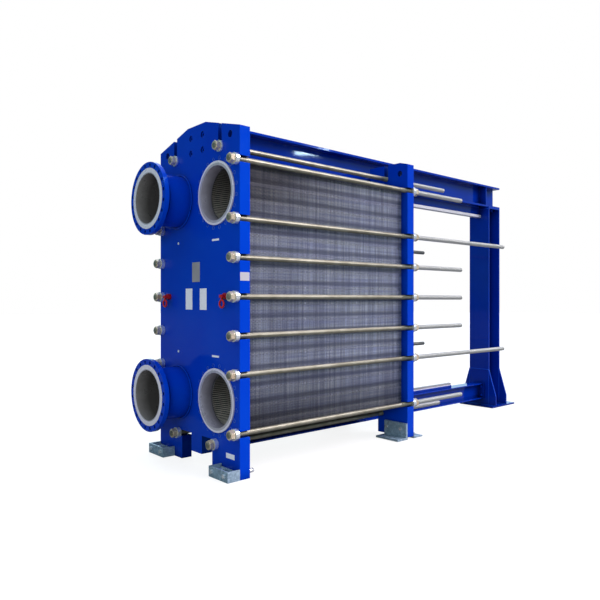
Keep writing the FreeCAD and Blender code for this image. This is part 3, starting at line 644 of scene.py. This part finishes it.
# Painted highlight: light blue rims round the tapped holes.
PLUG_RIM_HIGHLIGHT = steel("plug_rim_highlight", (0.25, 0.38, 0.80), (0.12, 0.22, 0.62), 0.3, metal=0.4)
NUT_STEEL = steel("nut_steel", (1.0, 0.85, 0.64), (0.66, 0.49, 0.32), 0.22, grain=60.0,
                  metal=0.58, edge=0.003)
FINISHES = {name: SHADED_SECTION_PAINT for name in ("carrying_bar", "guide_bar", "support_column")}
for level in ("upper", "lower"):
    FINISHES[level + "_nozzle_liner"] = liner(level + "_nozzle_steel", -PORT_X, (0.46, 0.42, 0.41),
                                              (0.34, 0.30, 0.29), 0.250, (FRONT - 0.34, FRONT - 0.20))
    FINISHES[level + "_port_liner"] = liner(level + "_port_steel", PORT_X, (0.76, 0.69, 0.84),
                                            (0.46, 0.41, 0.50), 0.273, (FRONT - 0.01, FRONT + 0.12))
    for hand in ("left", "right"):
        FINISHES[f"tightening_nut_{level}_{hand}"] = NUT_STEEL
for name in ("front_nuts", "short_bolt_nuts"):
    FINISHES[name] = NUT_STEEL
FINISHES["guide_rail"] = capped_rail()
FINISHES["bar_bolts"] = MATERIALS["blackened_screw"]

for part in frame["record"]["subparts"]:
    obj = frame["nodes"][part["node"]]
    obj.data.materials.clear()
    obj.data.materials.append(FINISHES.get(part["node"], MATERIALS[part["material_slot"]]))


# ---------------------------------------------------------------- plate pack

def plate_outline(inset=0.0, lip=False):
    """The plate's edge, anticlockwise from the guide notch, with or without its hanging lip."""
    d = inset
    half, low, high = PACK_HALF - d, PACK_BOTTOM + d, PACK_TOP - d
    right = [(NOTCH_HALF + d, NOTCH_TOP + d), (NOTCH_HALF + d, low)]
    for z, start in ((low + CORNER_R, -90), (high - CORNER_R, 0)):
        for k in range(5):
            a = math.radians(start + 22.5 * k)
            right.append((half + CORNER_R * (math.cos(a) - 1), z + CORNER_R * math.sin(a)))
    if lip:
        wide = HANGER_HALF + 0.0002
        right += [(LIP_HALF, high), (LIP_HALF, LIP_Z), (wide, LIP_Z), (wide, HANGER_FOOT)]
    else:
        right += [(HANGER_HALF + d, high), (HANGER_HALF + d, HANGER_FOOT - d)]
    return right + [(-x, z) for x, z in reversed(right)]


def wave_outline():
    """The edge and the line inside it, with the long sides divided for the pressed waves."""
    outer, inner = plate_outline(), plate_outline(RIM_DEEP)
    edge, deep, wave = [], [], []
    for k, p in enumerate(outer):
        q = outer[(k + 1) % len(outer)]
        long_side = abs(q[1] - p[1]) > PACK_HALF
        steps = WAVES * 2 if long_side else 1
        for i in range(steps):
            t = i / steps
            edge.append((p[0] + (q[0] - p[0]) * t, p[1] + (q[1] - p[1]) * t))
            a, b = inner[k], inner[(k + 1) % len(inner)]
            deep.append((a[0] + (b[0] - a[0]) * t, a[1] + (b[1] - a[1]) * t))
            wave.append((1 if i % 2 else -1) if long_side and i else 0)
    return np.array(edge), np.array(deep), np.array(wave, float)


def add_edges(mesh, edge, deep, wave, y0, thick, swing, wobble=0.0007):
    """The rims of one stack's plates, every other one with its waves turned over."""
    n = len(edge)
    i = np.arange(n)
    j = (i + 1) % n
    quads = np.concatenate([np.stack([i, i + n, j + n, j], -1),
                            np.stack([i + n, i + 2 * n, j + 2 * n, j + n], -1),
                            np.stack([i + 2 * n, i, j, j + 2 * n], -1)])
    for k in range(PLATES):
        y = y0 + (k + 0.5) * PITCH
        shift = wave * swing * (1 if k % 2 else -1)
        out = 1.0 - (rng.random() * wobble) / PACK_HALF
        rim = edge * (out, 1.0)
        front = np.stack([rim[:, 0], y + shift - thick / 2, rim[:, 1]], -1)
        back = np.stack([rim[:, 0], y + shift + thick / 2, rim[:, 1]], -1)
        inner = np.stack([deep[:, 0], y + shift, deep[:, 1]], -1)
        mesh.add(np.vstack([front, back, inner]), quads=quads)


def toothed_circle(x, z, radius, teeth, depth):
    """A port's edge with the pressed corrugations ending on it."""
    points = []
    for k in range(teeth * 2):
        a = math.pi * k / teeth
        r = radius + (depth if k % 2 else 0.0)
        points.append((x + r * math.cos(a), z + r * math.sin(a)))
    return points


def add_face(mesh, y0, y1, facing, ports):
    """One whole pressed plate: sheet, herringbone ribs and distribution ribs."""
    holes = [toothed_circle(x, z, PORT_R, 32, 0.0) for x, z in ports]
    prism(mesh, plate_outline(0.002, lip=True), holes, y0, y1)
    level = y0 if facing < 0 else y1
    add_ribs(mesh, level, facing)


def rib(mesh, level, facing, start, end, wide, high):
    """A low roof-shaped ridge between two points on a plate."""
    (x0, z0), (x1, z1) = start, end
    length = math.hypot(x1 - x0, z1 - z0)
    if length < wide:
        return
    nx, nz = -(z1 - z0) / length * wide / 2, (x1 - x0) / length * wide / 2
    base = level - facing * 0.0002
    top = level + facing * high
    verts = [(x0 + nx, base, z0 + nz), (x0 - nx, base, z0 - nz), (x0, top, z0),
             (x1 + nx, base, z1 + nz), (x1 - nx, base, z1 - nz), (x1, top, z1)]
    tris = [(0, 1, 2), (3, 5, 4)]
    quads = [(0, 3, 4, 1), (1, 4, 5, 2), (2, 5, 3, 0)]
    if facing > 0:
        tris = [t[::-1] for t in tris]
        quads = [q[::-1] for q in quads]
    mesh.add(verts, tris, quads)


def add_ribs(mesh, level, facing):
    """Herringbone over the middle, and fans that lead the flow to the ports."""
    low, high, half = 1.02, 2.17, 0.575
    slope, pitch = 0.55, 0.024
    for side in (-1, 1):
        z = low - half * slope
        while z < high:
            start_x = max(0.004, (low - z) / slope)
            end_x = min(half, (high - z) / slope)
            if end_x > start_x:
                rib(mesh, level, facing, (side * start_x, z + start_x * slope),
                    (side * end_x, z + end_x * slope), 0.014, 0.0022)
            z += pitch
    for side in (-1, 1):
        for end in (-1, 1):
            z_mid = CENTRE_Z + end * PORT_DZ
            for k in range(9):
                x = side * (0.06 + k * 0.06)
                z0 = low - 0.012 if end < 0 else high + 0.012
                reach = 0.045 + 0.012 * k
                rib(mesh, level, facing, (x, z0), (x - side * 0.03, z0 + end * reach), 0.016, 0.002)
            for k in range(10):
                z = z_mid + (k - 4.5) * 0.045
                rib(mesh, level, facing, (side * 0.012, z), (side * 0.075, z + 0.02), 0.014, 0.002)


def gasket_path(corner=0.05):
    """The field gasket's centre line."""
    side, low, high = PACK_HALF - 0.022, PACK_BOTTOM + 0.022, PACK_TOP - 0.028
    points = [(0.062, 0.46), (0.062, low)]
    for cx, cz, start in ((side - corner, low + corner, -90), (side - corner, high - corner, 0)):
        points += [(cx + corner * math.cos(math.radians(start + 18 * k)),
                    cz + corner * math.sin(math.radians(start + 18 * k))) for k in range(6)]
    points += [(0.075, high), (0.075, 2.745)]
    return points + [(-x, z) for x, z in reversed(points)]


def add_gasket(mesh, y, turn):
    """The rubber cord on a plate's face: round the field and round the two closed ports."""
    tube(mesh, [(x, y, z) for x, z in gasket_path()], CORD_R, loop=True)
    for sx, sz in (((1, 1), (-1, -1)) if turn else ((-1, 1), (1, -1))):
        tube(mesh, circle(sx * PORT_X, y, CENTRE_Z + sz * PORT_DZ, PORT_R + 0.016, 40), CORD_R,
             loop=True)


def build_port_rims(y0):
    """The port edges of the first stack's plates, where the corrugations end in flutes."""
    rims = Mesh()
    for x, z in PORTS:
        rim = np.array(toothed_circle(x, z, PORT_R, FLUTES, FLUTE_DEEP))
        hub = (rim - (x, z)) * (FLUTE_HUB_R / PORT_R) + (x, z)
        add_edges(rims, rim, hub, np.zeros(len(rim)), y0, PORT_RIM_THICK, 0.0, wobble=0.0)
    rims.make("port_rims", "plate_group_1", "plate_steel", PORT_STEEL)


def build_stack(number):
    """One group of plates with its gaskets, riding on its own body."""
    body = f"plate_group_{number + 1}"
    y0 = PACK_FRONT + number * STACK_LENGTH
    y1 = y0 + STACK_LENGTH
    last = number == STACKS - 1
    plates = Mesh()
    edge, deep, wave = wave_outline()
    add_edges(plates, edge, deep, wave, y0, RIM_THICK, PITCH / 2 - RIM_GAP)
    add_face(plates, y0 + FRONT_SHEET[0], y0 + FRONT_SHEET[1], -1, PORTS)
    add_face(plates, y1 - REAR_SHEET[0], y1 - REAR_SHEET[1], 1, [] if last else PORTS)
    if number == 0:
        build_port_rims(y0)
    made = plates.make(f"pressed_plates_{number + 1}", body, "plate_steel",
                       MATERIALS["plate_steel"])
    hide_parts(f"channel_plates_{number + 1}")
    seals = Mesh()
    holes = [toothed_circle(x, z, PORT_R + 0.004, FLUTES, FLUTE_DEEP) for x, z in PORTS]
    start, end = y0 + SEAL_INSET[0], y1 - SEAL_INSET[1]
    prism(seals, plate_outline(0.008), holes, start, end)
    for side in (-1, 1):
        for k in range(TABS):
            z = TAB_START + ROW_STEP * k
            xs = sorted((side * (PACK_HALF - 0.012), side * (PACK_HALF - 0.0012)))
            box_block(seals, xs[0], xs[1], start, end, z, z + TAB_HIGH, 0.003)
    add_gasket(seals, y0 + 0.0020, number % 2)
    made = seals.make(f"gasket_pack_{number + 1}", body, "gasket_rubber",
                      MATERIALS["gasket_rubber"])
    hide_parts(f"gaskets_{number + 1}")


for stack in range(STACKS):
    build_stack(stack)


# ---------------------------------------------------------------- tightening bolts

def bolt(mesh, x, z, start, end):
    """A stud with a chamfered end, a plain shank and a cut thread at each end."""
    thread_front = FRONT + 0.02
    thread_rear = PRESSURE_REAR - 0.18
    profile = [(start, BOLT_R - 0.005), (start + 0.004, BOLT_R - 0.0005)]
    y = start + 0.006
    while y < thread_front:
        profile += [(y, BOLT_R - THREAD_DEEP), (y + THREAD_PITCH / 2, BOLT_R)]
        y += THREAD_PITCH
    profile += [(y, SHANK_R), (thread_rear, SHANK_R)]
    y = thread_rear + THREAD_PITCH / 2
    while y < end - 0.008:
        profile += [(y, BOLT_R - THREAD_DEEP), (y + THREAD_PITCH / 2, BOLT_R)]
        y += THREAD_PITCH
    profile += [(end - 0.005, BOLT_R - 0.001), (end, BOLT_R - 0.006)]
    rod_along_y(mesh, x, z, profile, BOLT_SIDES)


def build_bolts():
    """The short and long tightening bolts, with threads where they stand out."""
    short_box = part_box("short_tightening_bolts")
    long_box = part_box("long_tightening_bolts")
    shorts, longs = Mesh(), Mesh()
    for side in (-1, 1):
        for dz in SHORT_ROWS:
            bolt(shorts, side * SIDE_X, CENTRE_Z + dz, short_box[0].y, short_box[1].y)
        bolt(shorts, side * TOP_BOLT_X, TOP_BOLT_Z, TOP_BOLT_START, short_box[1].y)
        bolt(shorts, side * BOTTOM_BOLT_X, BOTTOM_BOLT_Z, short_box[0].y, short_box[1].y)
        for dz in LONG_ROWS:
            bolt(longs, side * SIDE_X, CENTRE_Z + dz, long_box[0].y, long_box[1].y)
    for mesh, name, stood_for in ((shorts, "short_studs", "short_tightening_bolts"),
                                  (longs, "long_studs", "long_tightening_bolts")):
        made = mesh.make(name, "frame", "bolt_steel", MATERIALS["bolt_steel"])
        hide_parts(stood_for)


build_bolts()


# ---------------------------------------------------------------- welds

def bead(mesh, start, end, radius, step=0.014):
    """A straight painted weld bead."""
    tube(mesh, line(start, end, step), radius, 5, ripple=0.15)


def build_nozzle_beads():
    """Beads where the nozzle pipes meet the frame plate and their flanges."""
    beads = Mesh()
    for sz in (-1, 1):
        z = CENTRE_Z + sz * PORT_DZ
        root = circle(-PORT_X, FRONT - 0.006, z, NOZZLE_R + 0.008, 120)
        neck = circle(-PORT_X, FLANGE_BACK, z, NOZZLE_R + 0.0005, 120)
        tube(beads, root, 0.0085, loop=True, ripple=0.14)
        tube(beads, neck, 0.005, loop=True, ripple=0.16)
    beads.make("nozzle_beads", "frame", "blue_paint", MATERIALS["blue_paint"], smooth=True)


def add_beam_beads(mesh):
    """Beads along the hanging web and up the carrying bar's end plate."""
    for side in (-1, 1):
        x, z = side * 0.011, COLUMN_TOP - 0.003
        bead(mesh, (x, BEAM_START, z), (x, FRONT + 4.85, z), 0.006, 0.03)
        x, y = side * 0.0085, BEAM_START + 0.0015
        bead(mesh, (x, y, COLUMN_TOP + 0.03), (x, y, BEAM_TOP), 0.0045, 0.012)


def add_column_beads(mesh):
    """Beads round the column's foot, its gussets, the rear stay and the cap."""
    for y in (COLUMN_FRONT - 0.002, COLUMN_FRONT + 0.022, COLUMN_REAR - 0.022, COLUMN_REAR + 0.002):
        bead(mesh, (-0.272, y, BASE_TOP), (0.272, y, BASE_TOP), 0.0055)
    for y in (COLUMN_FRONT + 0.010, COLUMN_REAR - 0.010):
        for side in (-1, 1):
            for dy in (-0.0105, 0.0105):
                x = side * COLUMN_HALF
                bead(mesh, (x, y + dy, 0.03), (x, y + dy, GUSSET_TOP - 0.005), 0.004)
    for side in (-1, 1):
        x = side * 0.0075
        bead(mesh, (x, COLUMN_REAR, 0.03), (x, COLUMN_REAR, 0.53), 0.005)
        bead(mesh, (x, COLUMN_REAR + 0.004, BASE_TOP), (x, COLUMN_REAR + 0.20, BASE_TOP), 0.005)
    y = COLUMN_FRONT - 0.001
    bead(mesh, (-COLUMN_HALF, y, GUSSET_TOP), (COLUMN_HALF, y, GUSSET_TOP), 0.0055, 0.012)
    for side in (-1, 1):
        bead(mesh, (side * COLUMN_HALF, y, GUSSET_TOP), (side * 0.275, y, 0.160), 0.0045, 0.012)
    z = COLUMN_TOP - CAP_THICK
    bead(mesh, (-0.155, y, z), (0.155, y, z), 0.004)


def build_welds():
    """Painted weld beads where pipes, web, column and gussets meet; those on web, column and gussets in
    a lighter blue, a painted highlight.
    """
    build_nozzle_beads()
    beads = Mesh()
    add_beam_beads(beads)
    add_column_beads(beads)
    beads.make("weld_beads", "frame", "blue_paint", BEAD_HIGHLIGHT_PAINT, smooth=True)


build_welds()


# ---------------------------------------------------------------- tapped holes

def build_hole_plugs():
    """Blue plugs in the tapped holes of the two right-hand ports, each with a fine light rim, a painted
    highlight on the hole's edge.
    """
    rim_profile = ((0.004, 0.0142), (-0.0004, 0.0152), (-0.0004, 0.0170), (0.002, 0.0170))
    plug_profile = ((0.0002, 0.006), (0.0006, 0.0115), (0.002, 0.0141), (0.012, 0.0141))
    rims, plugs = Mesh(), Mesh()
    for sz in (-1, 1):
        for k in range(TAPPED_HOLES):
            a = 2 * math.pi * (k + 0.5) / TAPPED_HOLES
            x = PORT_X + HOLE_CIRCLE_R * math.cos(a)
            z = CENTRE_Z + sz * PORT_DZ + HOLE_CIRCLE_R * math.sin(a)
            loft(rims, [circle(x, FRONT + dy, z, r, 20) for dy, r in rim_profile], loop=True)
            loft(plugs, [circle(x, FRONT + dy, z, r, 20) for dy, r in plug_profile])
    rims.make("hole_rim_highlights", "frame", "zinc_plate", PLUG_RIM_HIGHLIGHT)
    plugs.make("hole_plugs", "frame", "plug_plastic", MATERIALS["blackened_screw"])


build_hole_plugs()


# ---------------------------------------------------------------- stage, light and camera

FLOOR_HALF = 60.0
FLOOR_STEPS = 12
FLOOR_Z = -0.0006
FLOOR_GLOW = 0.86
LENS = 36.06
CAMERA_AT = (4.970, -5.5675, 1.567)
CAMERA_TURN = 48.745


def seen_directly(tree):
    """1 for what the camera sees itself, and 0 for light and reflections."""
    return node(tree, "LightPath").outputs["Is Camera Ray"]


def build_floor():
    """A pale floor that burns out to white, as a studio sweep does, apart from soft shadow."""
    material, tree, shader = new_material("floor_pale")
    cloud = ramp(tree, noise(tree, coordinates(tree), 0.8, 4.0), 0.3, 0.7)
    tone = mix(tree, cloud, (0.19, 0.19, 0.195), (0.21, 0.21, 0.21))
    set_inputs(tree, shader, color=tone, rough=0.65, specular=0.2)
    shader.inputs["Emission Color"].default_value = (1.0, 1.0, 1.0, 1.0)
    glow = ramp(tree, seen_directly(tree), 0, 1, 0.0, FLOOR_GLOW)
    tree.links.new(glow, shader.inputs["Emission Strength"])
    side = FLOOR_STEPS + 1
    grid = np.linspace(-FLOOR_HALF, FLOOR_HALF, side)
    xs, ys = np.meshgrid(grid, grid, indexing="ij")
    verts = np.stack([xs, ys, np.full_like(xs, FLOOR_Z)], -1).reshape(-1, 3)
    corners = [i * side + j for i in range(FLOOR_STEPS) for j in range(FLOOR_STEPS)]
    quads = [(k, k + side, k + side + 1, k + 1) for k in corners]
    mesh = bpy.data.meshes.new("floor")
    mesh.from_pydata(verts.tolist(), [], quads)
    mesh.materials.append(material)
    obj = bpy.data.objects.new("floor", mesh)
    bpy.context.scene.collection.objects.link(obj)


def add_light(name, kind, place, target, power, color, size=(1, 1), spread=0.0, fills=True,
              mirrored=True):
    """A lamp aimed at target; fills lights rough faces, and mirrored shows it in shiny ones."""
    data = bpy.data.lights.new(name, kind)
    data.energy = power
    data.color = color
    if kind == "AREA":
        data.shape = "RECTANGLE"
        data.size, data.size_y = size
    else:
        data.angle = math.radians(spread)
    lamp = bpy.data.objects.new(name, data)
    lamp.location = place
    lamp.visible_diffuse = fills
    lamp.visible_glossy = mirrored
    lamp.rotation_euler = (Vector(target) - Vector(place)).to_track_quat("-Z", "Y").to_euler()
    bpy.context.scene.collection.objects.link(lamp)


def build_world():
    """White where the camera sees it; a dimmer hall, lighter overhead, for everything else."""
    world = bpy.data.worlds.new("studio")
    bpy.context.scene.world = world
    world.use_nodes = True
    tree = world.node_tree
    tree.nodes.clear()
    out = tree.nodes.new("ShaderNodeOutputWorld")
    facing = node(tree, "TexCoord").outputs["Generated"]
    place = node(tree, "SeparateXYZ", {0: facing})
    hall = node(tree, "ValToRGB", {0: ramp(tree, place.outputs[2], -1, 1)})
    stops = hall.color_ramp.elements
    for at, grey in ((0.42, 0.10), (0.5, 0.20), (0.62, 0.28)):
        stops.new(at).color = (grey * 0.76, grey * 1.08, grey * 1.12, 1.0)
    stops[0].color = (0.04, 0.05, 0.06, 1.0)
    stops[-1].color = (0.62, 0.71, 0.86, 1.0)
    x, y = place.outputs[0], place.outputs[1]
    across = node(tree, "Math", {0: x, 1: y}, operation="ADD").outputs[0]
    along = node(tree, "Math", {0: x, 1: y}, operation="SUBTRACT").outputs[0]
    shade_side = ramp(tree, across, -1.30, -0.7, 1.0, 0.0)
    dark_side = ramp(tree, shade_side, 0, 1, 1.0, 1.25)
    tone = mix(tree, shade_side, hall.outputs[0], (0.08, 0.21, 0.24))
    sweep = ramp(tree, along, -0.75, -1.2, 0.0, 3.2)
    panes = ramp(tree, noise(tree, facing, 3.4, 1.0), 0.44, 0.56, 0.55, 1.6)
    level = node(tree, "Math", {0: dark_side, 1: panes}, operation="MULTIPLY").outputs[0]
    lean = node(tree, "Math", {0: level, 1: sweep}, operation="ADD").outputs[0]
    dim = node(tree, "Background", {"Color": tone, "Strength": lean})
    bright = node(tree, "Background", {"Color": (1.0, 1.0, 1.0, 1.0), "Strength": 1.0})
    both = node(tree, "MixShader", {0: seen_directly(tree), 1: dim.outputs[0], 2: bright.outputs[0]})
    tree.links.new(both.outputs[0], out.inputs[0])


def build_light():
    """High sun from the right and behind, a large lamp in front, a narrow window to mirror."""
    build_world()
    add_light("key", "SUN", (6.1, 4.6, 6.0), (0.0, 0.0, 0.0), 3.3, (1.02, 0.93, 1.02), spread=40.0)
    add_light("front", "AREA", (6.0, -8.5, 2.6), (0.0, -1.5, 1.6), 230.0, (0.92, 1.02, 1.0),
              size=(3.0, 2.5), mirrored=False)
    add_light("window", "AREA", (5.95, 4.26, 5.16), (0.0, -1.1, 3.2), 7.0, (0.9, 0.97, 1.0),
              size=(0.62, 0.07), fills=False)


def build_camera():
    """A level camera at eye height, off the front right corner."""
    data = bpy.data.cameras.new("camera")
    data.lens = LENS
    data.sensor_width = 36.0
    camera = bpy.data.objects.new("camera", data)
    camera.location = CAMERA_AT
    camera.rotation_euler = (math.radians(90.0), 0.0, math.radians(CAMERA_TURN))
    bpy.context.scene.collection.objects.link(camera)
    bpy.context.scene.camera = camera


build_floor()
build_light()
build_camera()
bpy.context.scene.view_settings.view_transform = "Standard"
